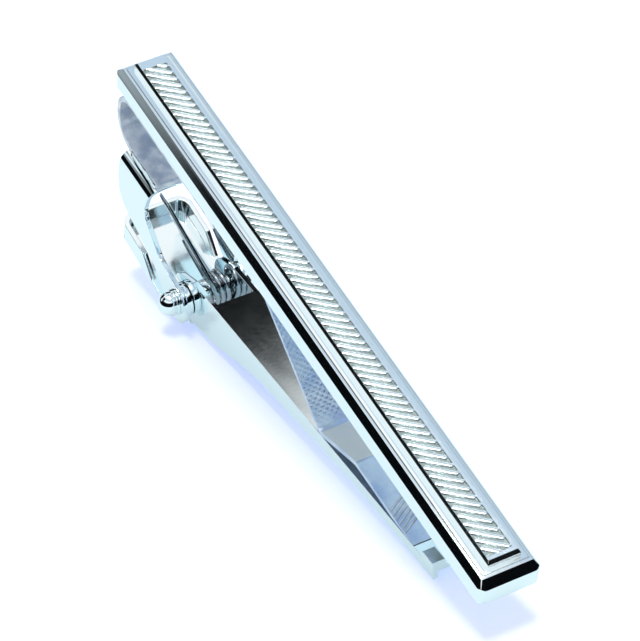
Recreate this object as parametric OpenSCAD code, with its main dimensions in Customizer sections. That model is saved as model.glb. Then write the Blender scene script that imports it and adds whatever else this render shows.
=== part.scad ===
// Slim bar tie clip that opens like a clothes-pin: a bar, two bent strips under it,
// a bracket with a rivet, and a sprung jaw with a thumb tab.
// X runs along the bar to the jaw's tip, Y across the bar and Z up.
// The origin is the centre of the bar's underside.

/* [Bar] */
// Length of the bar
bar_l = 60; // [57:0.5:64]
// Width of the bar
bar_w = 5.25; // [4.8:0.05:6.2]
// Height of the upright band round the bar
band_h = 1.55; // [1.2:0.05:2]
// Width of the bevel along the bar's sides
bevel_w = 0.45; // [0.3:0.01:0.5]
// Width of the bevel at the bar's ends
end_bevel_w = 0.72; // [0.5:0.01:0.9]
// Height of the bevel
bevel_h = 0.6; // [0.3:0.05:0.9]
// Width of the flat rim inside the bevel
rim_w = 0.22; // [0.1:0.01:0.3]
// Height of the step from the rim up to the land
step_h = 0.1; // [0.05:0.01:0.3]
// Radius of the bar's upright corners
corner_r = 0.6; // [0.3:0.05:0.9]

/* [Panel] */
// Width of the raised panel
panel_w = 2.8; // [2.4:0.05:3.2]
// Height of the panel above the land
panel_h = 0.8; // [0.4:0.05:1.2]
// Land left between the panel and each end of the bar
panel_end = 1.2; // [1:0.05:2]
// Height of the slanted edge round the panel's top
chamfer_h = 0.28; // [0.1:0.01:0.32]
// Width of that slanted edge along the sides
chamfer_w = 0.16; // [0.08:0.01:0.25]
// Width of that slanted edge at the ends
end_chamfer_w = 0.26; // [0.1:0.01:0.4]
// Plain border round the engraved field
border_w = 0.2; // [0.12:0.01:0.3]
// Distance between grooves along the bar
groove_pitch = 0.84; // [0.7:0.01:1]
// Width of a groove along the bar
groove_w = 0.38; // [0.2:0.01:0.44]
// Depth of a groove
groove_depth = 0.1; // [0.04:0.01:0.2]
// Slant of the grooves away from straight across
groove_deg = 39; // [30:1:46]

/* [Base strip] */
// Thickness of the base strip
base_t = 0.5; // [0.35:0.01:0.6]
// Width of the base strip
base_w = 5; // [4.4:0.05:5.2]
// Distance from the bar's far end to the front end of the base strip
base_reach = 16; // [14:0.1:18]
// Distance from the bar's far end to the back of the loop
loop_in = 0.2; // [0.1:0.05:0.6]
// Outer radius of the loop's bends as a share of the loop's height
loop_r_share = 0.43; // [0.3:0.01:0.46]

/* [Bracket] */
// Distance from the bar's far end to the rivet
hinge_in = 12.5; // [12:0.1:13]
// Depth of the rivet below the bar
hinge_drop = 14.2; // [13.8:0.1:14.6]
// Length of the bracket behind the rivet
arm_l = 10.75; // [10.5:0.05:11]
// Height of the bracket's pad above the rivet
arm_h = 8.6; // [8.4:0.05:8.8]
// Width over the bracket's flanges
bracket_w = 6.4; // [6.2:0.05:6.6]
// Thickness of the bracket's sheet
bracket_t = 0.4; // [0.3:0.01:0.5]
// Outer radius of the bends between the pad and the flanges
pad_r = 1.5; // [1:0.05:1.8]
// Radius of the flanges' round ends at the rivet
flange_r = 1.9; // [1.7:0.01:1.95]

/* [Rivet] */
// Diameter of the rivet's shank
rivet_d = 1.3; // [1:0.05:1.5]
// Diameter of the ball-like heads
head_d = 2.1; // [1.8:0.05:2.4]
// Distance from a head's cut face to its centre as a share of its radius
head_cut_share = 0.15; // [0.05:0.01:0.6]
// Diameter of the collars under the heads
collar_d = 2.3; // [2:0.05:2.6]
// Thickness of the collars
collar_t = 0.25; // [0.15:0.01:0.4]
// Diameter of the spacers between the flanges and the jaw
spacer_d = 3; // [2.4:0.05:3.3]
// Diameter of the sleeve beside the spring
sleeve_d = 2; // [1.8:0.05:2.2]
// Running clearance round the shank
run_gap = 0.05; // [0.03:0.01:0.08]
// Side clearance between pieces on the rivet
side_gap = 0.05; // [0.03:0.01:0.1]

/* [Jaw] */
// Length of the jaw from the rivet to its tip
jaw_l = 41.5; // [41:0.1:42.5]
// Width of the jaw
jaw_w = 4.2; // [4:0.05:4.4]
// Thickness of the jaw's sheet
jaw_t = 0.45; // [0.35:0.01:0.55]
// Height of the jaw's top face above the rivet
jaw_top = 2.7; // [2.6:0.02:2.8]
// Slope of the jaw's top face at rest
jaw_deg = 10.2; // [9.9:0.1:10.5]
// Radius of the jaw's ears round the rivet
ear_r = 2.2; // [2.1:0.01:2.3]
// Distance from the rivet to where the top web starts
web_start = 5.2; // [4.4:0.1:6]
// Height of the teeth at the tip
tooth_h = 0.55; // [0.3:0.01:0.6]
// Width of one tooth
tooth_w = 1.1; // [0.8:0.05:1.3]
// Length of one tooth along the jaw
tooth_l = 1.6; // [1:0.1:2]

/* [Thumb tab] */
// Length of the tab behind the rivet
tab_l = 10.5; // [9:0.1:10.8]
// Width of the tab
tab_w = 6.4; // [6:0.05:6.8]
// Thickness of the tab
tab_t = 0.45; // [0.35:0.01:0.6]
// Depth of the tab's upper face below the rivet
tab_drop = 2.05; // [2:0.01:2.1]
// Tilt of the tab at rest
tab_deg = 5.5; // [4.5:0.5:6.5]
// Radius of the tab's free corners
tab_r = 1.3; // [0.8:0.05:1.8]
// Height of the tab's turned-up edge above its face
tab_rim_h = 1.5; // [1:0.05:1.6]

/* [Grip strip] */
// Thickness of the grip strip
grip_t = 0.4; // [0.3:0.01:0.5]
// Width of the grip strip
grip_w = 4.2; // [3.8:0.05:4.6]
// Distance from the bar's far end to the strip's soldered end
grip_start = 19.8; // [18.6:0.1:20.4]
// Distance from the bar's far end to the lowest bend
grip_low_in = 35.7; // [34.5:0.1:37]
// Slope of the strip down from the bar
grip_down_deg = 32.8; // [31:0.2:36]
// Slope of the strip up from its lowest bend
grip_up_deg = 23; // [19:0.2:26]
// Rise of the strip from its lowest bend
grip_rise = 2.3; // [2:0.05:2.6]
// Length of the level stretch before the tip
grip_level_l = 6.3; // [5.5:0.1:7]
// Length of the strip's last stretch to the tip
grip_tip_l = 2.8; // [2.4:0.1:3]
// Gap between the strip and the jaw at rest
grip_gap = 0.06; // [0.04:0.01:0.15]
// Height of the ribs on the strip
rib_h = 0.12; // [0.06:0.01:0.2]
// Distance between ribs
rib_pitch = 0.6; // [0.45:0.05:0.8]

/* [Spring] */
// Diameter of the wire
wire_d = 0.5; // [0.4:0.01:0.56]
// Mean diameter of the coil
coil_d = 2.6; // [2.55:0.01:2.8]
// Whole turns of the coil
coil_turns = 2; // [1:1:2]
// Gap between turns
coil_gap = 0.03; // [0.02:0.01:0.05]
// Length of the leg that lies on the tab
leg_tab_l = 7.4; // [5:0.1:8]
// Distance that the other leg leans towards a flange
leg_lean = 1.4; // [0:0.1:1.5]
// Clearance between a leg and the sheet that it pushes on
lie_gap = 0.04; // [0.03:0.01:0.06]

/* [Solder] */
// Height of a solder fillet
fillet_h = 0.45; // [0.3:0.05:0.45]
// Length of a solder fillet along the bar
fillet_l = 1.1; // [0.6:0.05:1.6]
// Width of the bead of solder beside the loop's seat
bead_w = 0.3; // [0.15:0.01:0.35]
// Height of that bead above the strip
bead_h = 0.3; // [0.15:0.01:0.4]

/* [Hidden] */
$fn = 48;

// Steps of a bend, steps of a turn of the coil and sides of the wire
bend_n = 8;
turn_n = 24;
wire_n = 10;

// One overrun for every cut
over = 1;

far_x = -bar_l / 2;
rim_z = band_h + bevel_h;
land_z = rim_z + step_h;
panel_l = bar_l - 2 * panel_end;
field_l = panel_l - 2 * end_chamfer_w - 2 * border_w;
field_w = panel_w - 2 * chamfer_w - 2 * border_w;
hinge = [hinge_in, -hinge_drop];

// Places across the rivet, from the middle outward
flange_in = bracket_w / 2 - bracket_t;
head_y = bracket_w / 2 + collar_t;
spacer_t = flange_in - jaw_w / 2 - side_gap;
ear_in = jaw_w / 2 - jaw_t;

// Two-dimensional helpers
function unit(v) = v / norm(v);
function turned(v, a) = [v.x * cos(a) - v.y * sin(a), v.x * sin(a) + v.y * cos(a)];
function wrap(a) = a > 180 ? a - 360 : a < -180 ? a + 360 : a;
function polar(r, a) = [r * cos(a), r * sin(a)];

// Arc that rounds the corner b between a and c with radius r
function corner_arc(a, b, c, r) =
    r <= 0 ? [b] :
    let (u = unit(a - b), v = unit(c - b), half = acos(u * v) / 2,
         p = b + u * r / tan(half), q = b + v * r / tan(half),
         m = b + unit(u + v) * r / sin(half),
         a0 = atan2(p.y - m.y, p.x - m.x), a1 = atan2(q.y - m.y, q.x - m.x), d = wrap(a1 - a0))
    [for (i = [0:bend_n]) m + polar(r, a0 + d * i / bend_n)];

// Open path, or closed outline, with each corner rounded by its third value
function plan2(p) = [p.x, p.y];
function rounded_path(c) = concat([plan2(c[0])],
    [for (i = [1:len(c) - 2]) each corner_arc(plan2(c[i - 1]), plan2(c[i]), plan2(c[i + 1]), c[i][2])],
    [plan2(c[len(c) - 1])]);
function rounded_outline(c) = let (n = len(c))
    [for (i = [0:n - 1])
        each corner_arc(plan2(c[(i + n - 1) % n]), plan2(c[i]), plan2(c[(i + 1) % n]), c[i][2])];

// The same path moved sideways to its left by t
function path_dir(p, i) = unit(p[min(i + 1, len(p) - 1)] - p[max(i - 1, 0)]);
function beside(p, t) = [for (i = [0:len(p) - 1]) p[i] + turned(path_dir(p, i), 90) * t];
function reversed(p) = [for (i = [len(p) - 1:-1:0]) p[i]];

// Point where a line from p touches a circle of radius r round the rivet
function tangent_point(p, r, side) = let (d2 = p * p)
    p * r * r / d2 + turned(p, 90) * side * r * sqrt(d2 - r * r) / d2;

// The same for a straight edge that runs into a round end: it meets the circle just inside
meet_share = 0.99;
function meet_point(p, r, side) = tangent_point(p, r * meet_share, side);

// Shapes in the plane of the bar's length and height
module upright(w) {
    rotate([90, 0, 0])
        linear_extrude(w, center = true)
            children();
}

// Sheet of thickness t and width w bent along a path
module bent_sheet(path, t, w) {
    upright(w) polygon(concat(path, reversed(beside(path, t))));
}

module on_hinge() {
    translate([far_x + hinge_in, 0, -hinge_drop]) children();
}

// Bar: an edge section along it and one across it meet in mitred corners
module edge_section(w, bevel) {
    land = w / 2 - bevel - rim_w;
    polygon([[-w / 2, 0], [w / 2, 0], [w / 2, band_h], [w / 2 - bevel, rim_z], [land, rim_z],
             [land, land_z], [-land, land_z], [-land, rim_z], [bevel - w / 2, rim_z],
             [-w / 2, band_h]]);
}

module round_rect(l, w, r) {
    square([l - 2 * r, w], center = true);
    square([l, w - 2 * r], center = true);
    for (sx = [-1, 1])
        for (sy = [-1, 1])
            translate([sx * (l / 2 - r), sy * (w / 2 - r)]) circle(r);
}

module bar() {
    color("#DDEFF5")
    intersection() {
        upright(bar_w + over) edge_section(bar_l, end_bevel_w);
        rotate([90, 0, 90])
            linear_extrude(bar_l + over, center = true) edge_section(bar_w, bevel_w);
        linear_extrude(land_z) round_rect(bar_l, bar_w, corner_r);
    }
}

// Panel: a plain border round a field of slanted grooves
groove_run = field_w * tan(groove_deg);
groove_n = floor((field_l - groove_run - groove_w) / groove_pitch);
groove_first = -(groove_n * groove_pitch + groove_run + groove_w) / 2;

// Section of a block whose top edges are cut at a slant
module slanted_section(w, cut) {
    polygon([[-w / 2, 0], [w / 2, 0], [w / 2, panel_h - chamfer_h], [w / 2 - cut, panel_h],
             [cut - w / 2, panel_h], [-w / 2, panel_h - chamfer_h]]);
}

module panel() {
    color("#F1F5F7")
    translate([0, 0, land_z])
        difference() {
            intersection() {
                upright(panel_w + over) slanted_section(panel_l, end_chamfer_w);
                rotate([90, 0, 90])
                    linear_extrude(panel_l + over, center = true) slanted_section(panel_w, chamfer_w);
            }
            for (i = [0:groove_n])
                translate([groove_first + i * groove_pitch, 0, panel_h - groove_depth])
                    linear_extrude(groove_depth + over)
                        polygon([[0, -field_w / 2], [groove_w, -field_w / 2],
                                 [groove_w + groove_run, field_w / 2], [groove_run, field_w / 2]]);
        }
}

// Bracket: shares of its length and height give the flange's outline round the rivet
flange_shares = [[-0.958, 1, 0.04], [-0.451, 1, 0.02], [-0.558, 0.6, 0.12], [-0.279, 0.291, 0.12]];
flange_low_shares = [[-0.428, 0.151, 0.08], [-0.8, 0.262, 0.06], [-0.912, 0.32, 0.06],
                     [-0.986, 0.442, 0.06], [-1, 0.628, 0.1]];
function at_arm(s) = [s.x * arm_l, s.y * arm_h, s[2] * arm_l];
pad_back = plan2(at_arm(flange_shares[0]));
pad_front = plan2(at_arm(flange_shares[1]));
flange_top = [for (s = flange_shares) at_arm(s)];
flange_low = [for (s = flange_low_shares) at_arm(s)];
flange_up_t = meet_point(plan2(flange_top[3]), flange_r, -1);
flange_low_t = meet_point(plan2(flange_low[0]), flange_r, 1);
flange_outline = rounded_outline(concat(flange_top,
    [[flange_up_t.x, flange_up_t.y, 0], [flange_low_t.x, flange_low_t.y, 0]], flange_low));

// Point on the pad at a share of the way from its back to its front, seen from the bar
function pad_point(s) = hinge + pad_back + (pad_front - pad_back) * s;

// Inside or outside of the channel, seen along the bar, with its top corners rounded
module channel_section(w, top, r) {
    translate([-w / 2, -2 * flange_r]) square([w, 2 * flange_r + top - r]);
    translate([r - w / 2, 0]) square([w - 2 * r, top]);
    for (s = [-1, 1]) translate([s * (w / 2 - r), top - r]) circle(r);
}

module bracket() {
    color("#D6F0F5")
    on_hinge()
        difference() {
            union() {
                intersection() {
                    upright(bracket_w + over) polygon(flange_outline);
                    rotate([90, 0, 90])
                        linear_extrude(4 * arm_l, center = true)
                            difference() {
                                channel_section(bracket_w, arm_h, pad_r);
                                translate([0, -over])
                                    channel_section(bracket_w - 2 * bracket_t,
                                                    arm_h - bracket_t + over, pad_r - bracket_t);
                            }
                }
                for (s = [-1, 1])
                    translate([0, s * (bracket_w - bracket_t) / 2, 0])
                        upright(bracket_t) circle(flange_r);
            }
            upright(bracket_w + over) circle(rivet_d / 2);
        }
}

// Base strip: flat under the bar, looped down and laid on the bracket's pad to its front edge
seat = pad_point(1);
loop_r = -loop_r_share * seat.y;
base_bends = [[base_reach, 0, 0], [loop_in, 0, loop_r], [loop_in, seat.y, loop_r], [seat.x, seat.y, 0]];

module base_strip() {
    color("#B9CDE8")
    translate([far_x, 0, 0])
        bent_sheet(rounded_path(base_bends), base_t, base_w);
}

// Height of the jaw's top face at a distance x from the bar's far end
function jaw_face(x) = hinge.y + (jaw_top + (x - hinge_in) * sin(jaw_deg)) / cos(jaw_deg);

// Grip strip: down from the bar to the jaw, up again, and level to the tip
grip_r = 2 * grip_t;
grip_low_m = [grip_low_in, jaw_face(grip_low_in)]
    + turned([0, grip_r + grip_t + grip_gap], jaw_deg);
grip_half = (grip_down_deg + grip_up_deg) / 2;
grip_low = grip_low_m + turned([0, -grip_r / cos(grip_half)], (grip_up_deg - grip_down_deg) / 2);
grip_top_x = grip_low.x + grip_low.y / tan(grip_down_deg);
grip_crest = grip_low + [grip_rise / tan(grip_up_deg), grip_rise];
grip_tip_x = grip_crest.x + grip_level_l + grip_tip_l;
grip_tip = [grip_tip_x, jaw_face(grip_tip_x) + (grip_gap + grip_t) / cos(jaw_deg)];
grip_bends = [[grip_start, 0, 0], [grip_top_x, 0, 4 * grip_r], [grip_low.x, grip_low.y, grip_r],
              [grip_crest.x, grip_crest.y, 2 * grip_r],
              [grip_crest.x + grip_level_l, grip_crest.y, 2 * grip_r], [grip_tip.x, grip_tip.y, 0]];
rib_n = floor(grip_level_l / 2 / rib_pitch);

module grip_strip() {
    color("#B4C7E6")
    translate([far_x, 0, 0])
        union() {
            bent_sheet(reversed(rounded_path(grip_bends)), grip_t, grip_w);
            for (i = [1:rib_n])
                translate([grip_crest.x + grip_level_l - i * rib_pitch, 0, grip_crest.y])
                    upright(grip_w) polygon([[-rib_h, -rib_h], [rib_h, -rib_h], [0, rib_h]]);
        }
}

// Rivet and what sits on it
module pin_ring(d, bore, t, y) {
    on_hinge()
        translate([0, y, 0])
            rotate([90, 0, 0])
                difference() {
                    cylinder(h = t, d = d, center = true);
                    cylinder(h = t + over, d = bore, center = true);
                }
}

module rivet() {
    color("#DCE6EE")
    on_hinge()
        union() {
            rotate([90, 0, 0]) cylinder(h = 2 * head_y, d = rivet_d, center = true);
            for (s = [-1, 1])
                difference() {
                    translate([0, s * (head_y + head_cut_share * head_d / 2), 0]) sphere(d = head_d);
                    translate([0, s * (head_y - over / 2), 0])
                        cube([head_d + over, over, head_d + over], center = true);
                }
        }
}

module collars() {
    color("#E6EEF2")
    for (s = [-1, 1]) pin_ring(collar_d, rivet_d, collar_t, s * (head_y - collar_t / 2));
}

module spacers() {
    color("#C9D6E0")
    for (s = [-1, 1]) pin_ring(spacer_d, rivet_d, spacer_t, s * (flange_in - spacer_t / 2));
}

// Jaw: a channel that tapers to a strip, drawn with its top face level and then sloped
jaw_low_shares = [[0.11, -0.64, 0.1], [0.235, -0.1, 0.3], [0.331, 0.2, 0.4], [0.57, 0.48, 0.4],
                  [0.7, 0.62, 0.2]];
ear_back_share = 0.72;
jaw_end_share = 0.59;
ear_back = [ear_back_share * ear_r, jaw_top];
ear_back_t = meet_point(ear_back, ear_r, 1);
jaw_low = [for (s = jaw_low_shares) [s.x * jaw_l, s.y * jaw_top, s[2] * jaw_l / 4]];
ear_low_t = meet_point(plan2(jaw_low[0]), ear_r, -1);
jaw_side = rounded_outline(concat([[ear_back.x, ear_back.y, ear_r / 4],
    [ear_back_t.x, ear_back_t.y, 0], [ear_low_t.x, ear_low_t.y, 0]], jaw_low,
    [[jaw_l, jaw_end_share * jaw_top, 0], [jaw_l, jaw_top, 0]]));

// Cut that lets the ears stand on the thumb tab
module above_tab() {
    rotate([0, jaw_deg + tab_deg, 0])
        translate([-jaw_l, -jaw_w, -tab_drop]) cube([2 * jaw_l, 2 * jaw_w, 2 * jaw_l]);
}

module ear_plate() {
    upright(jaw_t) {
        difference() {
            union() {
                polygon(jaw_side);
                circle(ear_r);
            }
            circle(rivet_d / 2 + run_gap);
        }
    }
}

module jaw() {
    color("#E4F1F7")
    on_hinge()
        rotate([0, -jaw_deg, 0])
            union() {
                intersection() {
                    for (s = [-1, 1])
                        translate([0, s * (jaw_w - jaw_t) / 2, 0]) ear_plate();
                    above_tab();
                }
                translate([web_start, -jaw_w / 2, jaw_top - jaw_t])
                    cube([jaw_l - web_start, jaw_w, jaw_t]);
                for (s = [-1, 1])
                    translate([jaw_l - tooth_l, s * (jaw_w - tooth_w) / 2 - tooth_w / 2, jaw_top - jaw_t])
                        cube([tooth_l, tooth_w, jaw_t + tooth_h]);
            }
}

// Thumb tab: wide behind the bracket's round ends and narrow under the ears
tab_wide_end = -flange_r - run_gap - side_gap;

module tab_plan(inset) {
    w = tab_w - 2 * inset;
    r = tab_r - inset;
    back = inset - tab_l;
    translate([back + r, -w / 2]) square([tab_wide_end - back - r, w]);
    translate([back, r - w / 2]) square([r, w - 2 * r]);
    for (s = [-1, 1])
        translate([back + r, s * (w / 2 - r)]) circle(r);
}

// Turned-up edge along the tab's sides and back: shares of the tab's length say where its
// full height ends and where it has sloped down to the face
tab_rim_shares = [0.57, 0.4];

module tab_rim() {
    intersection() {
        linear_extrude(tab_t + tab_rim_h)
            difference() {
                tab_plan(0);
                tab_plan(tab_t);
            }
        upright(tab_w + over)
            polygon([[-tab_l - over, 0], [-tab_l * tab_rim_shares[1], 0],
                     [-tab_l * tab_rim_shares[1], tab_t],
                     [-tab_l * tab_rim_shares[0], tab_t + tab_rim_h],
                     [-tab_l - over, tab_t + tab_rim_h]]);
    }
}

module thumb_tab() {
    color("#D2E6F2")
    on_hinge()
        rotate([0, tab_deg, 0])
            translate([0, 0, -tab_drop - tab_t])
                union() {
                    linear_extrude(tab_t) {
                        tab_plan(0);
                        translate([tab_wide_end - tab_r, -jaw_w / 2])
                            square([tab_r - tab_wide_end + ear_r / 2, jaw_w]);
                    }
                    tab_rim();
                }
}

// Spring: a coil round the rivet with a leg back to the tab and a leg up under the pad
coil_r = coil_d / 2;
leg_tab_end = turned([-leg_tab_l, lie_gap + wire_d / 2 - tab_drop], -tab_deg);
leg_pad_share = 0.9;
leg_pad_end = pad_back + (pad_front - pad_back) * leg_pad_share - [0, bracket_t + wire_d / 2 + lie_gap];
leg_tab_t = tangent_point(leg_tab_end, coil_r, 1);
leg_pad_t = tangent_point(leg_pad_end, coil_r, -1);
coil_a = atan2(leg_tab_t.y, leg_tab_t.x);
coil_sweep = atan2(leg_pad_t.y, leg_pad_t.x) - coil_a + 360 * coil_turns;
coil_pitch = wire_d + coil_gap;
coil_w = wire_d + coil_pitch * coil_sweep / 360;
coil_start = ear_in - side_gap - coil_w;
coil_n = round(turn_n * coil_sweep / 360);
function in_space(p, y) = [p.x, y, p.y];
function coil_y(a) = coil_start + coil_w - wire_d / 2 - coil_pitch * a / 360;
spring_path = concat([in_space(leg_tab_end, coil_y(0))],
    [for (i = [0:coil_n]) let (a = coil_sweep * i / coil_n) in_space(polar(coil_r, coil_a + a), coil_y(a))],
    [in_space(leg_pad_end, coil_y(coil_sweep) - leg_lean)]);

// Round wire of radius r swept along a path
module wire(path, r) {
    n = len(path);
    rings = [for (i = [0:n - 1])
        let (d = unit(path[min(i + 1, n - 1)] - path[max(i - 1, 0)]),
             u = unit(cross(d, [0, 1, 0])), v = cross(u, d))
        for (k = [0:wire_n - 1]) path[i] + u * r * cos(k * 360 / wire_n) + v * r * sin(k * 360 / wire_n)];
    polyhedron(rings, concat(
        [[for (k = [0:wire_n - 1]) k]],
        [for (i = [0:n - 2])
            for (k = [0:wire_n - 1])
                let (a = i * wire_n + k, b = i * wire_n + (k + 1) % wire_n)
                    [a, a + wire_n, b + wire_n, b]],
        [[for (k = [wire_n - 1:-1:0]) (n - 1) * wire_n + k]]));
}

module spring() {
    color("#59636E")
    on_hinge() wire(spring_path, wire_d / 2);
}

// Sleeve: fills the rivet's length beside the coil
sleeve_w = coil_start - side_gap + ear_in - side_gap;

module sleeve() {
    color("#CBD5DE")
    pin_ring(sleeve_d, rivet_d, sleeve_w, coil_start - side_gap - sleeve_w / 2);
}

// Solder: small fillets at the strips' ends under the bar, and a bead on both sides of the seat
bead_shares = [0.12, 0.97];

module fillet_bar(x, dir, w) {
    translate([far_x + x, 0, 0])
        upright(w) polygon([[0, 0], [dir * fillet_l, 0], [dir * fillet_l / 3, -fillet_h / 3], [0, -fillet_h]]);
}

// Bead in the hollow over the bracket's bend, seen along the bar
module bead_section() {
    edge = base_w / 2;
    top = arm_h + base_t;
    difference() {
        polygon([[edge - 2 * bead_w, arm_h - pad_r], [edge - 2 * bead_w, arm_h], [edge, arm_h],
                 [edge, top], [edge - bead_w, top], [edge - bead_w / 3, top + bead_h],
                 [edge + bead_w / 2, top + bead_h / 2], [edge + bead_w, arm_h],
                 [edge + bead_w, arm_h - pad_r]]);
        translate([bracket_w / 2 - pad_r, arm_h - pad_r]) circle(pad_r);
    }
}

module seat_beads() {
    bead_l = (bead_shares[1] - bead_shares[0]) * (pad_front.x - pad_back.x);
    on_hinge()
        translate([pad_back.x + bead_shares[0] * (pad_front.x - pad_back.x), 0, 0])
            for (s = [0, 1])
                mirror([0, s, 0])
                    rotate([90, 0, 90]) linear_extrude(bead_l) bead_section();
}

module solder() {
    color("#8A95A0")
    union() {
        fillet_bar(base_reach, 1, base_w * 0.7);
        fillet_bar(grip_start, -1, grip_w * 0.7);
        seat_beads();
    }
}

bar();
panel();
base_strip();
grip_strip();
bracket();
rivet();
collars();
spacers();
sleeve();
jaw();
thumb_tab();
spring();
solder();
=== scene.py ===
"""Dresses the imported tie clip: plated metal pieces, a pale floor, soft light and the camera."""

import math

import bmesh
import bpy
from bpy.props import FloatProperty, FloatVectorProperty, IntProperty, PointerProperty
from mathutils import Matrix, Vector, noise


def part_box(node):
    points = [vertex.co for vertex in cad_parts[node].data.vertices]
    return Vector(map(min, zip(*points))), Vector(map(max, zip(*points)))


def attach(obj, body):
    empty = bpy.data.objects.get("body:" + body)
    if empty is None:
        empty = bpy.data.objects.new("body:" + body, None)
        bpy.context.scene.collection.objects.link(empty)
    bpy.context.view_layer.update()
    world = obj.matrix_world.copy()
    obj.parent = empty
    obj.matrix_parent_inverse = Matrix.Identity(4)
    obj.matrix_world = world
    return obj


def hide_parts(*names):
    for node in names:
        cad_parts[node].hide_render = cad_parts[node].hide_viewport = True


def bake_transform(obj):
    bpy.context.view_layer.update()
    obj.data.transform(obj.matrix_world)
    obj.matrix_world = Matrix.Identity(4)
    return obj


bl_info = {
    "name": "Slim tie clip",
    "version": (1, 0, 0),
    "blender": (4, 5, 0),
    "location": "View3D > Sidebar > Tie clip",
    "description": "Makes the pieces of a slim bar tie clip with a sprung jaw",
    "category": "Object",
}

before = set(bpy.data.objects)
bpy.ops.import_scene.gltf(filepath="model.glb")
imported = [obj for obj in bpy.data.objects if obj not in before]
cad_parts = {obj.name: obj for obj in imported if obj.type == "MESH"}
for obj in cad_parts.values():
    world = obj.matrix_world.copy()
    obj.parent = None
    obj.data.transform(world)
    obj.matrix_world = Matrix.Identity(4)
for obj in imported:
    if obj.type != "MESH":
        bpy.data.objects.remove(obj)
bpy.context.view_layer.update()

MM = 0.001
CLIP = "clip_bar"
LEVER = "jaw_lever"

# Vertices of a CAD mesh closer than the first are one, as are faces turned by less than the second
SAME_PLACE = 0.0005 * MM
SAME_PLANE = math.radians(0.5)

# Least upward part of a level face's direction
LEVEL_FACE = 0.999

# Noise heights between which a mottle goes from its darker colour to the plain one
CLOUD_FROM, CLOUD_TO = 0.38, 0.62
SMOOTHEST = 0.02

# Knurl: turn of its lines in degrees, waver of the cut, and where along the clip it starts and ends
KNURL_TURN = 38
KNURL_WAVER = 0.6
KNURL_START = (-6.0 * MM, -4.5 * MM)
KNURL_END = (3.6 * MM, 5.2 * MM)

# Bar faces larger than this are shaded flat
LARGE_FACE = 20 * MM ** 2

# Panel: rim before the near ridges, slant of the sunk field's walls, rounding of its edges, and the
# room left between those walls and the ridges' sides and ends
PANEL_RIM = 0.02 * MM
FIELD_SLANT = 0.03 * MM
FIELD_ROUND = 0.02 * MM
SIDE_ROOM = 0.03 * MM
END_ROOM = 0.04 * MM

# Shares of a ridge's width that round its corners and its back
RIDGE_CORNER = 0.46
RIDGE_BACK = 0.24

# Grip strip: stretch at its end in which its tip is the highest point
STRIP_END = 0.5 * MM

# Ribs: width and height, rounding, distance of the last one from the strip's tip, and the room
# left at the strip's sides and at its tip
RIB_SIZE = 0.2 * MM
RIB_ROUND = 0.06 * MM
RIB_BACK = 2.5 * MM
RIB_SIDE_ROOM = 0.06 * MM
RIB_TIP_ROOM = 0.1 * MM

# Stretch of the jaw that holds its teeth, and the least face there that isn't a rounded edge
TEETH = 2.1 * MM
TOOTH_FACE = 0.3 * MM ** 2

# Lean of the spring's upper leg towards the near side
LEG_LEAN = 0.75 * MM

# Solder: longest edge, sizes of its lumps and pimples, how high a pimple is for a lump of one, how
# far a lump swells, how far the surface is drawn in to make up for it, and how much it is smoothed
SOLDER_EDGE = 0.3 * MM
LUMP = 0.55 * MM
PIMPLE = 0.22 * MM
PIMPLE_SHARE = 0.6
SWELL = 0.05 * MM
DRAWN_IN = 0.02 * MM
SMOOTHED = 0.4

# Loop's seat, which its beads shrink towards: in from the base strip's sides, up from its lowest point
SEAT_IN = 0.05 * MM
SEAT_UP = 0.15 * MM

# Least distance along the clip between the two points that it rests on
REST_APART = 5 * MM

# Floor: a round card a little under the clip, its tints in what metal mirrors, with the distances
# across the clip between which one gives way to the other, and the light it adds in its shadows
# and in what metal mirrors
CARD_RADIUS = 100 * MM
CARD_AHEAD = 20 * MM
CARD_UNDER = 0.03 * MM
TINT_NEAR, TINT_BEHIND = "#B4C0C5", "#8199AF"
TINT_FROM, TINT_TO = 4 * MM, 16 * MM
SHADOW_GLOW, MIRROR_GLOW = "#8693CB", "#A2AFB6"

# What metal mirrors of the room, by degrees above the floor: pale floor, dark sides, white ceiling
# with a bluish band
DARK = "#05070A"
WHITE = "#FFFFFF"
ROOM = ((-30, "#EAF8FE"), (-14, "#E0EEF8"), (-10, DARK), (32, DARK), (37, WHITE), (50, WHITE),
        (53, "#C2D6E6"), (64, "#C2D2E6"), (67, WHITE), (90, WHITE))

# Round patches over it: direction, radius of the clear part and of the soft edge in degrees, colour
PALE_WALL = ((-0.97, 0.2, 0.1), 12, 18, "#D5E6F4")
DARK_OPENING = ((-0.88, 0.28, 0.38), 9.2, 11, DARK)
LOW_WINDOW = ((-0.78, -0.62, 0.16), 7, 14, "#E8F4FA")
NEAR_OPENING = ((-0.57, -0.6, 0.56), 12, 15, DARK)
HIGH_LAMP = ((-0.57, -0.34, 0.75), 9, 12, WHITE)
PATCHES = (PALE_WALL, DARK_OPENING, LOW_WINDOW, NEAR_OPENING, HIGH_LAMP)

# Light of the room on what isn't a mirror
ROOM_FILL = 0.55

# Softbox: side and distance in metres, power in watts, and lean to the back
BOX_SIDE = 0.19
BOX_AWAY = 0.5
BOX_POWER = 1.45
BOX_COLOUR = "#FFFCF1"
BOX_LEAN = 0.05

# Camera: place and lens in millimetres, turn in degrees
CAMERA_AT = (149.264, -89.716, 196.3)
CAMERA_TURN = (41.4724, -2.4336, 61.5995)
CAMERA_LENS = 189.17
CAMERA_SENSOR = 36


def srgb(code):
    """Linear red, green and blue of an sRGB hex colour."""
    parts = [int(code[i:i + 2], 16) / 255 for i in (1, 3, 5)]
    return tuple(c / 12.92 if c <= 0.04045 else ((c + 0.055) / 1.055) ** 2.4 for c in parts)


def rgba(code):
    """An sRGB hex colour as a shader's socket takes it."""
    return (*srgb(code), 1.0)


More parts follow.
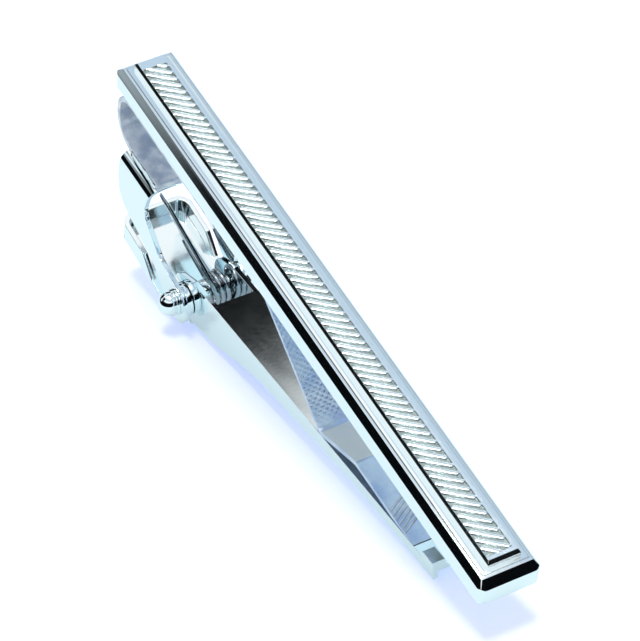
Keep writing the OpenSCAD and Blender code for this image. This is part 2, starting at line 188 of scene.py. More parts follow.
def length(name, description, default, low, high):
    """A length setting in metres, with its default and limits given in millimetres."""
    return FloatProperty(name=name, description=description, subtype="DISTANCE", precision=5,
                         default=default * MM, min=low * MM, max=high * MM)


def slant(name, description, default, low, high):
    """An angle setting, with its default and limits given in degrees."""
    return FloatProperty(name=name, description=description, subtype="ANGLE",
                         default=math.radians(default), min=math.radians(low),
                         max=math.radians(high))


def colour(name, description, code):
    """A colour setting, with its default given as an sRGB hex value."""
    return FloatVectorProperty(name=name, description=description, subtype="COLOR",
                               default=srgb(code), min=0, max=1)


class TieClipSizes(bpy.types.PropertyGroup):
    """Sizes of the finer forms."""

    edge_round: length("Edge rounding", "Rounding of the sheet's edges", 0.05, 0.01, 0.15)
    bar_round: length("Bar rounding", "Rounding of the bar's edges", 0.09, 0.02, 0.2)
    crown: length("Bar crown", "Rise of the bar's top inside its buffed edge", 0.016, 0, 0.03)
    crown_edge: length("Crown edge", "Width of the buffed edge of the bar's top", 0.2, 0.05, 0.4)
    chamfer_high: length("Chamfer height", "Height of the panel's slanted edge", 0.28, 0.1, 0.4)
    chamfer_side: length("Side chamfer", "Width of that edge at the sides", 0.16, 0.05, 0.3)
    chamfer_end: length("End chamfer", "Width of that edge at the ends", 0.26, 0.05, 0.4)
    border: length("Border", "Plain border along the ridges and at the jaw's end", 0.3, 0.1, 0.5)
    border_end: length("Far border", "Plain border at the loop's end", 0.85, 0.1, 1.5)
    ridge_pitch: length("Ridge pitch", "Distance between ridges along the bar", 0.838, 0.6, 1.2)
    ridge_width: length("Ridge width", "Width of a ridge across its length", 0.46, 0.2, 0.6)
    ridge_height: length("Ridge height", "Height of a ridge above its ground", 0.13, 0.04, 0.2)
    ridge_slant: slant("Ridge slant", "Slant away from straight across", 39, 17, 57)
    bead_share: FloatProperty(name="Solder bead", description="Share of the full bead by the loop's seat",
                              subtype="FACTOR", default=0.5, min=0.3, max=1)
    knurl_pitch: length("Knurl pitch", "Distance between the grip strip's crossed lines", 0.36, 0.2, 0.6)
    rib_pitch: length("Rib pitch", "Distance between the grip strip's ribs", 0.46, 0.3, 0.8)
    rib_count: IntProperty(name="Ribs", description="Number of ribs near the grip strip's tip",
                           default=6, min=1, max=8)
    rib_slant: slant("Rib slant", "Slant of the ribs away from straight across", 31, 0, 45)


class TieClipColours(bpy.types.PropertyGroup):
    """Colours of the finishes."""

    plate: colour("Plating", "Bright polished plating", "#F0FAFD")
    satin: colour("Satin plating", "Frosted plating of the base strip", "#EEF3FA")
    cloud: colour("Cloud", "Darker clouds in that plating", "#BECBDD")
    grip: colour("Grip strip", "Frosted plating of the grip strip", "#DAE7F8")
    grip_cloud: colour("Grip cloud", "Darker clouds in that plating", "#B4C8EC")
    # Dull ground of the engraved lines, coloured darker as painted shade in these hollows; it also clouds
    # the teeth as painted shade
    ground_and_shade: colour("Ground", "Dull ground between the ridges, and wear on the teeth", "#7F8B8C")
    # Teeth: their plating is painted darker as painted shade
    painted_teeth_shade: colour("Teeth", "Plating of the jaw's teeth", "#B9C5D8")
    wire: colour("Spring wire", "Oiled spring wire", "#B4BCC2")
    solder: colour("Solder", "Plated solder", "#E4EEF4")
    floor: colour("Floor", "White card under the clip", "#FAFAFC")


def sizes():
    """The sizes as they are set in the scene."""
    return bpy.context.scene.tie_clip_sizes


def colours():
    """The colours as they are set in the scene."""
    return bpy.context.scene.tie_clip_colours


# Nodes and materials

def add_node(tree, kind, settings=None, links=None):
    """Adds a node, sets its inputs or properties and links its inputs."""
    made = tree.nodes.new(kind)
    for key, value in (settings or {}).items():
        if isinstance(key, int) or key in made.inputs:
            made.inputs[key].default_value = value
        else:
            setattr(made, key, value)
    for key, socket in (links or {}).items():
        tree.links.new(socket, made.inputs[key])
    return made


def metal(name, base, rough, spread, grain, wave, stretch=(1, 1, 1), mottle=None, knurl=None,
          clear=1.0):
    """Metal with a fine grain and a slow waviness, each as (size in mm, depth in mm).

    A real grain is too fine to show, so it is drawn coarser. The spread is how far the roughness
    strays either way, and a stretch below one draws the waves out along its axis. A mottle is
    (size in mm, darker colour), and a knurl is (pitch in mm, depth in mm). A clear share below
    one stands for a frosted surface, which scatters the rest of the light.
    """
    made = bpy.data.materials.get(name)
    if made:
        return made
    made = bpy.data.materials.new(name)
    made.use_nodes = True
    tree = made.node_tree
    tree.nodes.clear()
    place = add_node(tree, "ShaderNodeTexCoord").outputs["Object"]
    drawn = add_node(tree, "ShaderNodeMapping", {"Scale": stretch}, {"Vector": place}).outputs["Vector"]
    waves = add_node(tree, "ShaderNodeTexNoise", {"Scale": 1 / (wave[0] * MM), "Detail": 1.0},
                     {"Vector": drawn}).outputs["Fac"]
    fine = add_node(tree, "ShaderNodeTexNoise", {"Scale": 1 / (grain[0] * MM), "Detail": 3.0},
                    {"Vector": place}).outputs["Fac"]
    bumps = [(waves, wave[1]), (fine, grain[1])]
    if knurl:
        bumps.insert(1, (crossed_lines(tree, place, knurl[0]), knurl[1]))
    links = {}
    for height, depth in bumps:
        bump = add_node(tree, "ShaderNodeBump", {"Strength": 1.0, "Distance": depth * MM},
                        {"Height": height, **links})
        links = {"Normal": bump.outputs["Normal"]}
    finish = add_node(tree, "ShaderNodeMapRange",
                      {"To Min": max(rough - spread, SMOOTHEST), "To Max": rough + spread},
                      {"Value": fine})
    links["Roughness"] = finish.outputs["Result"]
    if mottle:
        clouds = add_node(tree, "ShaderNodeTexNoise", {"Scale": 1 / (mottle[0] * MM), "Detail": 4.0},
                          {"Vector": place}).outputs["Fac"]
        ramp = add_node(tree, "ShaderNodeValToRGB", {}, {"Fac": clouds})
        darker, plain = ramp.color_ramp.elements
        darker.position, darker.color = CLOUD_FROM, (*mottle[1], 1.0)
        plain.position, plain.color = CLOUD_TO, (*base, 1.0)
        links["Base Color"] = ramp.outputs["Color"]
    shader = add_node(tree, "ShaderNodeBsdfPrincipled", {"Base Color": (*base, 1.0), "Metallic": clear},
                      links)
    add_node(tree, "ShaderNodeOutputMaterial", {}, {"Surface": shader.outputs[0]})
    return made


def crossed_lines(tree, place, pitch):
    """Height of a knurl with a pitch in mm, on the strip's slope down from the bar."""
    # The wave texture repeats every pi / 10 at a scale of one
    scale = math.pi / 10 / (pitch * MM)
    shares = []
    for turn in (KNURL_TURN, -KNURL_TURN):
        way = add_node(tree, "ShaderNodeMapping", {"Rotation": (0.0, 0.0, math.radians(turn))},
                       {"Vector": place}).outputs["Vector"]
        lines = add_node(tree, "ShaderNodeTexWave",
                         {"wave_type": "BANDS", "bands_direction": "X", "Scale": scale,
                          "Distortion": KNURL_WAVER}, {"Vector": way})
        shares.append(lines.outputs["Fac"])
    along = add_node(tree, "ShaderNodeSeparateXYZ", {}, {"Vector": place}).outputs["X"]
    for (first, last), before, after in ((KNURL_START, 0.0, 1.0), (KNURL_END, 1.0, 0.0)):
        fade = add_node(tree, "ShaderNodeMapRange",
                        {"From Min": first, "From Max": last, "To Min": before, "To Max": after},
                        {"Value": along})
        shares.append(fade.outputs["Result"])
    height = shares[0]
    for share in shares[1:]:
        height = add_node(tree, "ShaderNodeMath", {"operation": "MULTIPLY"},
                          {0: height, 1: share}).outputs[0]
    return height


def polished_rhodium():
    """Rhodium-plated brass, buffed: a clear mirror with the slightest waviness."""
    return metal("polished_rhodium", colours().plate, rough=0.05, spread=0.015,
                 grain=(0.35, 0.0003), wave=(3.0, 0.006))


def drawn_rhodium():
    """The bar's plating, buffed along its length: long soft streaks in what it mirrors."""
    return metal("drawn_rhodium", colours().plate, rough=0.06, spread=0.02,
                 grain=(0.3, 0.0003), wave=(0.7, 0.012), stretch=(0.04, 1, 1))


def stamped_rhodium():
    """Plating over pressed sheet: a clear mirror, gently buckled where the press bent it."""
    return metal("stamped_rhodium", colours().plate, rough=0.06, spread=0.015,
                 grain=(0.35, 0.0003), wave=(2.4, 0.012), stretch=(0.3, 1, 1))


def satin_rhodium():
    """The same plating over a tumbled sheet: a soft, cloudy, bluish grey sheen."""
    return metal("satin_rhodium", colours().satin, rough=0.3, spread=0.06,
                 grain=(0.12, 0.004), wave=(1.4, 0.01), mottle=(1.1, colours().cloud), clear=0.55)


def painted_shade_teeth_rhodium():
    """Plating of the jaw's teeth, painted darker and clouded as painted shade for the dark reflection on
    their faces.
    """
    return metal("painted_shade_teeth_rhodium", colours().painted_teeth_shade, rough=0.22, spread=0.05,
                 grain=(0.2, 0.002), wave=(1.4, 0.01), mottle=(2.2, colours().ground_and_shade), clear=0.7)


def painted_highlight_rhodium():
    """Plating made pale and mostly matt where the grip strip rises from the jaw: a painted highlight on
    that slope.
    """
    return metal("painted_highlight_rhodium", colours().plate, rough=0.35, spread=0.05,
                 grain=(0.12, 0.002), wave=(1.4, 0.01), clear=0.2)


def knurled_rhodium():
    """Grip strip's plating over crossed cut lines, which stop the tie from slipping."""
    return metal("knurled_rhodium", colours().grip, rough=0.3, spread=0.06,
                 grain=(0.12, 0.004), wave=(1.4, 0.01), mottle=(2.5, colours().grip_cloud),
                 knurl=(sizes().knurl_pitch / MM, 0.035), clear=0.7)


def tumbled_rhodium():
    """Tumbled plating of the thumb tab: bright, with a slightly blurred mirror."""
    return metal("tumbled_rhodium", colours().plate, rough=0.1, spread=0.04,
                 grain=(0.2, 0.001), wave=(2.0, 0.012))


def engraved_rhodium():
    """Plating over engraved ridges: bright with a fine pebble."""
    return metal("engraved_rhodium", colours().plate, rough=0.14, spread=0.05,
                 grain=(0.16, 0.005), wave=(0.7, 0.014))


def engraved_ground_and_shade():
    """Bottom of the engraved lines, which the buffing doesn't reach: dull, and coloured darker as painted
    shade in these hollows.
    """
    return metal("engraved_ground_and_shade", colours().ground_and_shade, rough=0.38, spread=0.06,
                 grain=(0.1, 0.01), wave=(0.6, 0.02))


def spring_steel():
    """Drawn spring wire with a thin film of oil."""
    return metal("spring_steel", colours().wire, rough=0.1, spread=0.03,
                 grain=(0.2, 0.001), wave=(0.8, 0.002))


def plated_solder():
    """Solder as it set, plated over with the rest: bright and lumpy."""
    return metal("plated_solder", colours().solder, rough=0.2, spread=0.08,
                 grain=(0.12, 0.012), wave=(0.4, 0.03))


# Meshes

def new_object(name, bm):
    """Turns a bmesh into an object in the scene."""
    mesh = bpy.data.meshes.new(name)
    bm.to_mesh(mesh)
    bm.free()
    made = bpy.data.objects.new(name, mesh)
    bpy.context.scene.collection.objects.link(made)
    return made


def new_piece(name, bm, body, material, node):
    """A piece that stands for a CAD node and rides on a body, if one is given."""
    piece = new_object(name, bm)
    piece.data.materials.append(material)
    if body:
        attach(piece, body)
    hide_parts(node)
    return piece


def clean_shading(piece, angle=40):
    """Smooth shading in which the large flat faces keep their own direction."""
    piece.data.shade_smooth()
    piece.data.set_sharp_from_angle(angle=math.radians(angle))
    weighted = piece.modifiers.new("Weighted normals", "WEIGHTED_NORMAL")
    weighted.keep_sharp = True


def merged_copy(node):
    """The CAD node's mesh as a bmesh of whole faces."""
    bm = bmesh.new()
    bm.from_mesh(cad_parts[node].data)
    bmesh.ops.remove_doubles(bm, verts=bm.verts, dist=SAME_PLACE)
    bmesh.ops.dissolve_limit(bm, angle_limit=SAME_PLANE, verts=bm.verts, edges=bm.edges)
    return bm


def new_box(size):
    """A box round the origin as a bmesh."""
    bm = bmesh.new()
    bmesh.ops.create_cube(bm, size=1)
    bmesh.ops.scale(bm, vec=size, verts=bm.verts)
    return bm


def only(kind, geom):
    """The vertices, edges or faces among what an operator made."""
    return [g for g in geom if isinstance(g, kind)]


def bevel(bm, edges, width, segments):
    """Rounds edges."""
    bmesh.ops.bevel(bm, geom=edges, offset=width, offset_type="OFFSET", segments=segments,
                    profile=0.5, affect="EDGES", clamp_overlap=True, material=-1)


def round_edges(bm, width, above=30, segments=2, pick=None):
    """Rounds the edges that turn by more than an angle, all of them or those that are picked."""
    bevel(bm, [e for e in bm.edges if e.is_manifold and e.calc_face_angle(0) > math.radians(above)
               and (pick is None or pick(e))], width, segments)


def upper_rim(bm, above):
    """Edges of a box's top that turn by more than an angle."""
    return [e for e in bm.edges if min(v.co.z for v in e.verts) > 0
            and e.calc_face_angle(0) > math.radians(above)]


def repeat(bm, copies, step):
    """Adds copies of a mesh, each a step further along x."""
    one = bm.verts[:] + bm.edges[:] + bm.faces[:]
    for i in range(1, copies + 1):
        copied = bmesh.ops.duplicate(bm, geom=one)["geom"]
        bmesh.ops.translate(bm, vec=(i * step, 0, 0), verts=only(bmesh.types.BMVert, copied))


def cut_off(bm, place, way):
    """Cuts away what is past a plane and closes the cut."""
    cut = bmesh.ops.bisect_plane(bm, geom=bm.verts[:] + bm.edges[:] + bm.faces[:], plane_co=place,
                                 plane_no=way, clear_outer=True)["geom_cut"]
    bmesh.ops.holes_fill(bm, edges=only(bmesh.types.BMEdge, cut), sides=0)


def rounded_node(node, name, body, material, above=30):
    """A CAD node with its edges rounded as tumbling and plating leave them."""
    bm = merged_copy(node)
    round_edges(bm, sizes().edge_round, above)
    piece = new_piece(name, bm, body, material, node)
    clean_shading(piece)
    return piece


class TieClipBar(bpy.types.Operator):
    """Bar with its bevelled edge and its slightly raised top"""
    bl_idname = "tie_clip.bar"
    bl_label = "Bar"
    bl_options = {"REGISTER", "UNDO"}

    def execute(self, context):
        bm = merged_copy("bar")
        round_edges(bm, sizes().bar_round, above=20, segments=3)
        land = max((f for f in bm.faces if f.normal.z > LEVEL_FACE), key=lambda f: f.calc_area())
        bmesh.ops.inset_region(bm, faces=[land], thickness=sizes().crown_edge, depth=sizes().crown,
                               use_even_offset=True)
        piece = new_piece("bar_shell", bm, CLIP, drawn_rhodium(), "bar")
        clean_shading(piece, angle=50)
        for face in piece.data.polygons:
            face.use_smooth = face.area < LARGE_FACE
        return {"FINISHED"}


class TieClipPanel(bpy.types.Operator):
    """Raised panel with its chamfered edge, its ground and its slanted ridges"""
    bl_idname = "tie_clip.panel"
    bl_label = "Panel"
    bl_options = {"REGISTER", "UNDO"}

    def execute(self, context):
        s = sizes()
        lo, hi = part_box("panel")
        top_x, top_y = hi.x - s.chamfer_end, hi.y - s.chamfer_side
        near, far = PANEL_RIM - top_y, top_y - s.border
        self.plate(lo, hi, top_x, top_y, near, far)
        self.ridges(hi, top_x, near, far)
        return {"FINISHED"}

    def plate(self, lo, hi, top_x, top_y, near, far):
        """A low box, drawn in to a smaller top with a field sunk in it."""
        s = sizes()
        wall = hi.z - s.chamfer_high
        bm = new_box((hi.x - lo.x, hi.y - lo.y, wall - lo.z))
        bmesh.ops.translate(bm, vec=(0, 0, (wall + lo.z) / 2), verts=bm.verts)
        top = max(bm.faces, key=lambda f: f.calc_center_median().z)
        top = self.raised(bm, top, s.chamfer_high, top_x / hi.x, top_y / hi.y)
        bmesh.ops.inset_region(bm, faces=[top], thickness=PANEL_RIM, use_even_offset=True)
        for v in top.verts:
            v.co.y = far if v.co.y > 0 else near
            v.co.x -= s.border if v.co.x > 0 else -s.border_end
        bmesh.ops.inset_region(bm, faces=[top], thickness=FIELD_SLANT, depth=-s.ridge_height,
                               use_even_offset=True)
        # The sunk field's ground between the ridges is dull and painted darker as painted shade
        top.material_index = 1
        slack = 0.01 * MM
        round_edges(bm, FIELD_ROUND, above=20, segments=1,
                    pick=lambda e: min(v.co.z for v in e.verts) > wall - slack
                    and max(v.co.z for v in e.verts) > hi.z - slack)
        plate = new_piece("panel_plate", bm, CLIP, engraved_rhodium(), "panel")
        plate.data.materials.append(engraved_ground_and_shade())
        clean_shading(plate, angle=22)

    def raised(self, bm, face, height, share_x, share_y):
        """Extrudes a face upwards and draws it in along both sides."""
        made = bmesh.ops.extrude_face_region(bm, geom=[face])["geom"]
        bmesh.ops.delete(bm, geom=[face], context="FACES_ONLY")
        verts = only(bmesh.types.BMVert, made)
        bmesh.ops.translate(bm, vec=(0, 0, height), verts=verts)
        bmesh.ops.scale(bm, vec=(share_x, share_y, 1), verts=verts)
        return only(bmesh.types.BMFace, made)[0]

    def ridges(self, hi, top_x, near, far):
        """Slanted bars with rounded ends and backs, cut off at both ends of the field."""
        s = sizes()
        width, height = s.ridge_width, s.ridge_height
        span = far - near - SIDE_ROOM
        run = span * math.tan(s.ridge_slant)
        jaw_end, loop_end = (top_x - border - END_ROOM for border in (s.border, s.border_end))
        copies = int((2 * jaw_end + run) / s.ridge_pitch)
        bm = new_box((width, span / math.cos(s.ridge_slant), 2 * height))
        corners = [e for e in bm.edges if abs(e.verts[0].co.z - e.verts[1].co.z) > height]
        bevel(bm, corners, width * RIDGE_CORNER, segments=4)
        bevel(bm, upper_rim(bm, above=60), width * RIDGE_BACK, segments=3)
        bmesh.ops.rotate(bm, cent=(0, 0, 0), matrix=Matrix.Rotation(-s.ridge_slant, 3, "Z"),
                         verts=bm.verts)
        start = (-copies * s.ridge_pitch / 2, (far + near) / 2, hi.z - height)
        bmesh.ops.translate(bm, vec=start, verts=bm.verts)
        repeat(bm, copies, s.ridge_pitch)
        cut_off(bm, (jaw_end, 0, 0), (1, 0, 0))
        cut_off(bm, (-loop_end, 0, 0), (-1, 0, 0))
        ridges = new_piece("panel_ridges", bm, CLIP, engraved_rhodium(), "panel")
        clean_shading(ridges, angle=50)


class TieClipStrips(bpy.types.Operator):
    """Base strip with its loop, and the grip strip with its ribs"""
    bl_idname = "tie_clip.strips"
    bl_label = "Strips"
    bl_options = {"REGISTER", "UNDO"}

    def execute(self, context):
        rounded_node("base_strip", "base_strip_sheet", CLIP, satin_rhodium())
        lo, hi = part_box("grip_strip")
        middle = (lo.x + hi.x) / 2
        bm = merged_copy("grip_strip")
        level = self.without_ribs(bm, middle)
        round_edges(bm, sizes().edge_round)
        sheet = new_piece("grip_strip_sheet", bm, CLIP, knurled_rhodium(), "grip_strip")
        sheet.data.materials.append(painted_highlight_rhodium())
        for face in sheet.data.polygons:
            # Upper faces that rise towards the tip, from the strip's foot near its middle, get the
            # painted highlight
            if face.normal.x < -0.15 and face.normal.z > 0.5 and face.center.x > middle:
                face.material_index = 1
        clean_shading(sheet)
        self.ribs(lo, hi, level)
        return {"FINISHED"}

    def without_ribs(self, bm, middle):
        """Lays the straight ribs and the rise at the tip level, and gives the height they then have."""
        flat = max((f for f in bm.faces
                    if f.normal.z > LEVEL_FACE and f.calc_center_median().x > middle),
                   key=lambda f: f.calc_area())
        level = flat.calc_center_median().z
        for v in bm.verts:
            if v.co.x > middle and v.co.z > level:
                v.co.z = level
        bmesh.ops.dissolve_degenerate(bm, dist=2 * SAME_PLACE, edges=bm.edges)
        bmesh.ops.dissolve_limit(bm, angle_limit=SAME_PLANE, verts=bm.verts, edges=bm.edges)
        return level

    def ribs(self, lo, hi, level):
        """Slanted ribs near the strip's tip, each a low bar with a rounded back."""
        s = sizes()
        points = [v.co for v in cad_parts["grip_strip"].data.vertices]
        tip = max((p for p in points if p.x > hi.x - STRIP_END), key=lambda p: p.z).x
        # Long enough to cross the strip at a slant; it is cut off at the strip's sides
        bm = new_box((RIB_SIZE, 3 * (hi.y - lo.y), RIB_SIZE))
        bevel(bm, upper_rim(bm, above=60), RIB_ROUND, segments=3)
        bmesh.ops.rotate(bm, cent=(0, 0, 0), matrix=Matrix.Rotation(s.rib_slant, 3, "Z"),
                         verts=bm.verts)
        repeat(bm, s.rib_count - 1, -s.rib_pitch)
        bmesh.ops.translate(bm, vec=(tip - RIB_BACK, 0, level), verts=bm.verts)
        cut_off(bm, (0, lo.y + RIB_SIDE_ROOM, 0), (0, -1, 0))
        cut_off(bm, (0, hi.y - RIB_SIDE_ROOM, 0), (0, 1, 0))
        cut_off(bm, (tip - RIB_TIP_ROOM, 0, 0), (1, 0, 0))
        piece = new_piece("grip_ribs", bm, CLIP, satin_rhodium(), "grip_strip")
        clean_shading(piece)


class TieClipBracket(bpy.types.Operator):
    """Bracket with its pad and flanges"""
    bl_idname = "tie_clip.bracket"
    bl_label = "Bracket"
    bl_options = {"REGISTER", "UNDO"}

    def execute(self, context):
        rounded_node("bracket", "bracket_sheet", CLIP, polished_rhodium())
        return {"FINISHED"}


class TieClipRivet(bpy.types.Operator):
    """Rivet with its heads, collars, spacers and sleeve"""
    bl_idname = "tie_clip.rivet"
    bl_label = "Rivet"
    bl_options = {"REGISTER", "UNDO"}

    def execute(self, context):
        for node in ("rivet", "collars", "spacers", "sleeve"):
            rounded_node(node, node + "_turned", CLIP, polished_rhodium(), above=50)
        return {"FINISHED"}


class TieClipJaw(bpy.types.Operator):
    """Jaw with its teeth, and the thumb tab"""
    bl_idname = "tie_clip.jaw"
    bl_label = "Jaw"
    bl_options = {"REGISTER", "UNDO"}

    def execute(self, context):
        channel = rounded_node("jaw", "jaw_channel", LEVER, stamped_rhodium())
        channel.data.materials.append(painted_shade_teeth_rhodium())
        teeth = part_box("jaw")[1].x - TEETH
        for face in channel.data.polygons:
            # All but the jaw's own end face get the teeth's plating, painted darker as painted shade
            if face.center.x > teeth and face.area > TOOTH_FACE and face.normal.x < 0.9:
                face.material_index = 1
        rounded_node("thumb_tab", "thumb_tab_sheet", LEVER, tumbled_rhodium())
        return {"FINISHED"}


class TieClipSpring(bpy.types.Operator):
    """Torsion spring with its upper leg leaning to the near side"""
    bl_idname = "tie_clip.spring"
    bl_label = "Spring"
    bl_options = {"REGISTER", "UNDO"}

    def execute(self, context):
        bm = bmesh.new()
        bm.from_mesh(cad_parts["spring"].data)
        bmesh.ops.remove_doubles(bm, verts=bm.verts, dist=SAME_PLACE)
        loosest = math.radians(60)
        bmesh.ops.join_triangles(bm, faces=bm.faces, angle_face_threshold=loosest,
                                 angle_shape_threshold=loosest)
        top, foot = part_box("spring")[1].z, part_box("rivet")[1].z
        for v in bm.verts:
            v.co.y -= max((v.co.z - foot) / (top - foot), 0) * LEG_LEAN
        piece = new_piece("spring_wire", bm, None, spring_steel(), "spring")
        piece.data.shade_smooth()
        rounder = piece.modifiers.new("Rounder wire", "SUBSURF")
        rounder.levels = rounder.render_levels = 1
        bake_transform(piece)
        return {"FINISHED"}


class TieClipSolder(bpy.types.Operator):
    """Solder fillets, and the ragged beads beside the loop's seat"""
    bl_idname = "tie_clip.solder"
    bl_label = "Solder"
    bl_options = {"REGISTER", "UNDO"}

    def execute(self, context):
        bm = merged_copy("solder")
        self.shrink_beads(bm)
        bmesh.ops.triangulate(bm, faces=bm.faces)
        # Each round halves the edges that are still too long
        for _ in range(3):
            long = [e for e in bm.edges if e.calc_length() > SOLDER_EDGE]
            bmesh.ops.subdivide_edges(bm, edges=long, cuts=1)
            bmesh.ops.triangulate(bm, faces=bm.faces)
        bm.normal_update()
        for v in bm.verts:
            lump = noise.noise(v.co / LUMP) + PIMPLE_SHARE * noise.noise(v.co / PIMPLE)
            v.co += v.normal * (lump * SWELL - DRAWN_IN)
        bmesh.ops.smooth_vert(bm, verts=bm.verts, factor=SMOOTHED, use_axis_x=True,
                              use_axis_y=True, use_axis_z=True)
        piece = new_piece("solder_beads", bm, CLIP, plated_solder(), "solder")
        piece.data.shade_smooth()
        return {"FINISHED"}

    def shrink_beads(self, bm):
        """Draws the two beads beside the loop's seat in towards the seat's lower edges."""
        low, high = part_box("base_strip")
        share = sizes().bead_share
        for side, edge in ((-1, low.y + SEAT_IN), (1, high.y - SEAT_IN)):
            bead = [v for v in bm.verts if v.co.z < low.z / 2 and v.co.y * side > 0]
            seat = Vector((0, edge, low.z + SEAT_UP))
            bmesh.ops.scale(bm, vec=(1, share, share), verts=bead, space=Matrix.Translation(-seat))


def resting_edge():
    """Two points that the clip rests on: the lowest, and the next one that the floor meets."""
    points = [v.co.copy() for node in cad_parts.values() for v in node.data.vertices]
    back = min(points, key=lambda p: p.z)
    front = min((p for p in points if p.x > back.x + REST_APART),
                key=lambda p: (p.z - back.z) / (p.x - back.x))
    return back, front


class TieClipStage(bpy.types.Operator):
    """Floor, light and camera"""
    bl_idname = "tie_clip.stage"
    bl_label = "Stage"
    bl_options = {"REGISTER", "UNDO"}

    def execute(self, context):
        scene = context.scene
        scene.view_settings.view_transform = "Standard"
        back, front = resting_edge()
        slope = math.atan2(front.z - back.z, front.x - back.x)
        up = Vector((-math.sin(slope), 0, math.cos(slope)))
        self.floor(back, slope, up)
        self.world(scene, up)
        self.lamp(scene, up)
        self.camera(scene)
        return {"FINISHED"}

    def floor(self, back, slope, up):
        """A white card that the clip lies on, which can be looked through from below."""
        bm = bmesh.new()
        bmesh.ops.create_circle(bm, cap_ends=True, segments=96, radius=CARD_RADIUS)
        bmesh.ops.rotate(bm, cent=(0, 0, 0), matrix=Matrix.Rotation(-slope, 3, "Y"), verts=bm.verts)
        ahead = Vector((math.cos(slope), 0, math.sin(slope))) * CARD_AHEAD
        middle = Vector((back.x, 0, back.z)) + ahead - up * CARD_UNDER
        bmesh.ops.translate(bm, vec=middle, verts=bm.verts)
        card = new_object("white_card", bm)
        card.data.materials.append(self.card_paper())
        # The clip lies on its lever, so the card keeps to the lever when the jaw opens
        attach(card, LEVER)

    def card_paper(self):
        """Matt white card with bluish shadows, which metal mirrors darker behind the clip."""
        made = bpy.data.materials.new("white_card")
        made.use_nodes = True
        tree = made.node_tree
        tree.nodes.clear()
        ray = add_node(tree, "ShaderNodeLightPath").outputs
        paper = add_node(tree, "ShaderNodeBsdfDiffuse", {"Color": (*colours().floor, 1.0)})
        place = add_node(tree, "ShaderNodeTexCoord").outputs["Object"]
        across = add_node(tree, "ShaderNodeSeparateXYZ", {}, {"Vector": place}).outputs["Y"]
        behind = add_node(tree, "ShaderNodeMapRange", {"From Min": TINT_FROM, "From Max": TINT_TO},
                          {"Value": across}).outputs["Result"]
        tint = add_node(tree, "ShaderNodeMix",
                        {"data_type": "RGBA", "A": rgba(TINT_NEAR), "B": rgba(TINT_BEHIND)},
                        {"Factor": behind}).outputs["Result"]
        mirrored = add_node(tree, "ShaderNodeBsdfDiffuse", {}, {"Color": tint})
        either = add_node(tree, "ShaderNodeMixShader", {},
                          {0: ray["Is Glossy Ray"], 1: paper.outputs[0], 2: mirrored.outputs[0]})
        glow = add_node(tree, "ShaderNodeEmission", {"Color": rgba(SHADOW_GLOW)},
                        {"Strength": ray["Is Camera Ray"]})
        lift = add_node(tree, "ShaderNodeEmission", {"Color": rgba(MIRROR_GLOW)},
                        {"Strength": ray["Is Glossy Ray"]})
        glows = add_node(tree, "ShaderNodeAddShader", {}, {0: glow.outputs[0], 1: lift.outputs[0]})
        above = add_node(tree, "ShaderNodeAddShader", {}, {0: either.outputs[0], 1: glows.outputs[0]})
        clear = add_node(tree, "ShaderNodeBsdfTransparent")
        below = add_node(tree, "ShaderNodeNewGeometry").outputs["Backfacing"]
        both = add_node(tree, "ShaderNodeMixShader", {},
                        {0: below, 1: above.outputs[0], 2: clear.outputs[0]})
        add_node(tree, "ShaderNodeOutputMaterial", {}, {"Surface": both.outputs[0]})
        return made

    def world(self, scene, up):
        """White to the eye, a white fill for matt surfaces, and a room in what metal mirrors."""
        made = bpy.data.worlds.new("studio")
        scene.world = made
        made.use_nodes = True
        tree = made.node_tree
        tree.nodes.clear()
        way = add_node(tree, "ShaderNodeTexCoord").outputs["Generated"]
        room = self.room(tree, way, up)
        for patch in PATCHES:
            room = self.patch(tree, way, room, *patch)
        ray = add_node(tree, "ShaderNodeLightPath").outputs
        fill = add_node(tree, "ShaderNodeBackground", {"Color": rgba(WHITE), "Strength": ROOM_FILL})
        mirror = add_node(tree, "ShaderNodeBackground", {"Strength": 1.0}, {"Color": room})
        white = add_node(tree, "ShaderNodeBackground", {"Color": rgba(WHITE), "Strength": 1.0})
        unseen = add_node(tree, "ShaderNodeMixShader", {},
                          {0: ray["Is Glossy Ray"], 1: fill.outputs[0], 2: mirror.outputs[0]})
        whole = add_node(tree, "ShaderNodeMixShader", {},
                         {0: ray["Is Camera Ray"], 1: unseen.outputs[0], 2: white.outputs[0]})
        add_node(tree, "ShaderNodeOutputWorld", {}, {"Surface": whole.outputs[0]})

    def room(self, tree, way, up):
        """Colours of the room by height above the floor."""
        height = add_node(tree, "ShaderNodeVectorMath", {"operation": "DOT_PRODUCT", 1: up},
                          {0: way}).outputs["Value"]
        share = add_node(tree, "ShaderNodeMapRange", {"From Min": -1.0, "From Max": 1.0},
                         {"Value": height}).outputs["Result"]
        made = add_node(tree, "ShaderNodeValToRGB", {}, {"Fac": share})
        stops = made.color_ramp.elements
        while len(stops) < len(ROOM):
            stops.new(0.5)
        for stop, (degrees, code) in zip(stops, ROOM):
            stop.position = (math.sin(math.radians(degrees)) + 1) / 2
            stop.color = rgba(code)
        return made.outputs["Color"]

    def patch(self, tree, way, room, towards, inner, outer, code):
        """Lays a round patch of a colour over the room; its radii are in degrees."""
        near = add_node(tree, "ShaderNodeVectorMath",
                        {"operation": "DOT_PRODUCT", 1: Vector(towards).normalized()},
                        {0: way}).outputs["Value"]
        inside = add_node(tree, "ShaderNodeMapRange",
                          {"From Min": math.cos(math.radians(outer)),
                           "From Max": math.cos(math.radians(inner))},
                          {"Value": near}).outputs["Result"]
        return add_node(tree, "ShaderNodeMix", {"data_type": "RGBA", "B": rgba(code)},
                        {"Factor": inside, "A": room}).outputs["Result"]

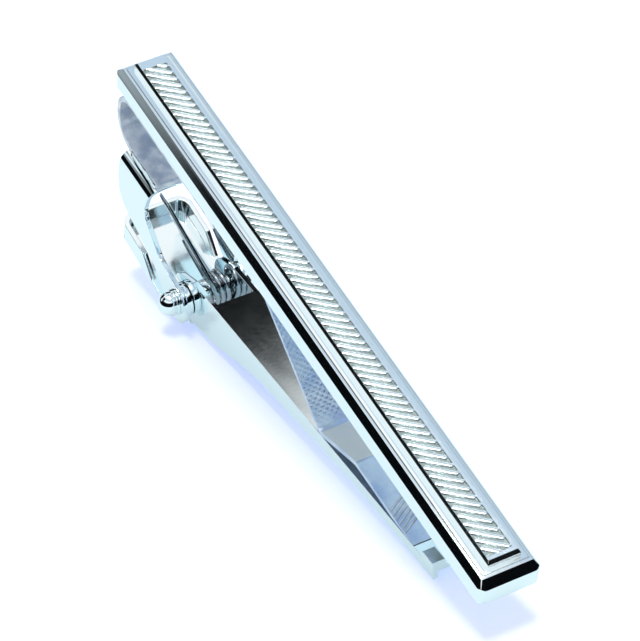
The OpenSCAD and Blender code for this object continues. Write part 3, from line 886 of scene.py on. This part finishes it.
    def lamp(self, scene, up):
        """A square softbox over the clip."""
        data = bpy.data.lights.new("softbox", "AREA")
        data.shape = "SQUARE"
        data.size = BOX_SIDE
        data.energy = BOX_POWER
        data.color = srgb(BOX_COLOUR)
        box = bpy.data.objects.new("softbox", data)
        way = (up + Vector((0, BOX_LEAN, 0))).normalized()
        box.location = way * BOX_AWAY
        box.rotation_mode = "QUATERNION"
        box.rotation_quaternion = way.to_track_quat("Z", "Y")
        scene.collection.objects.link(box)

    def camera(self, scene):
        """A long lens from above the near side."""
        data = bpy.data.cameras.new("camera")
        data.sensor_width = CAMERA_SENSOR
        data.lens = CAMERA_LENS
        data.clip_start, data.clip_end = 0.01, 5
        cam = bpy.data.objects.new("camera", data)
        cam.location = Vector(CAMERA_AT) * MM
        cam.rotation_euler = [math.radians(a) for a in CAMERA_TURN]
        scene.collection.objects.link(cam)
        scene.camera = cam


STEPS = (TieClipStage, TieClipBar, TieClipPanel, TieClipStrips, TieClipBracket, TieClipRivet,
         TieClipJaw, TieClipSpring, TieClipSolder)


class TieClipSidebar(bpy.types.Panel):
    """Lists the steps, the sizes and the colours"""
    bl_idname = "VIEW3D_PT_tie_clip"
    bl_label = "Tie clip"
    bl_space_type = "VIEW_3D"
    bl_region_type = "UI"
    bl_category = "Tie clip"

    def draw(self, context):
        for step in STEPS:
            self.layout.operator(step.bl_idname)
        for group in (context.scene.tie_clip_sizes, context.scene.tie_clip_colours):
            for name in group.__annotations__:
                self.layout.prop(group, name)


CLASSES = (TieClipSizes, TieClipColours) + STEPS + (TieClipSidebar,)


def register():
    for one in CLASSES:
        bpy.utils.register_class(one)
    bpy.types.Scene.tie_clip_sizes = PointerProperty(type=TieClipSizes)
    bpy.types.Scene.tie_clip_colours = PointerProperty(type=TieClipColours)


def unregister():
    del bpy.types.Scene.tie_clip_colours
    del bpy.types.Scene.tie_clip_sizes
    for one in reversed(CLASSES):
        bpy.utils.unregister_class(one)


def main():
    register()
    for step in STEPS:
        group, name = step.bl_idname.split(".")
        getattr(getattr(bpy.ops, group), name)()


if __name__ == "__main__":
    main()
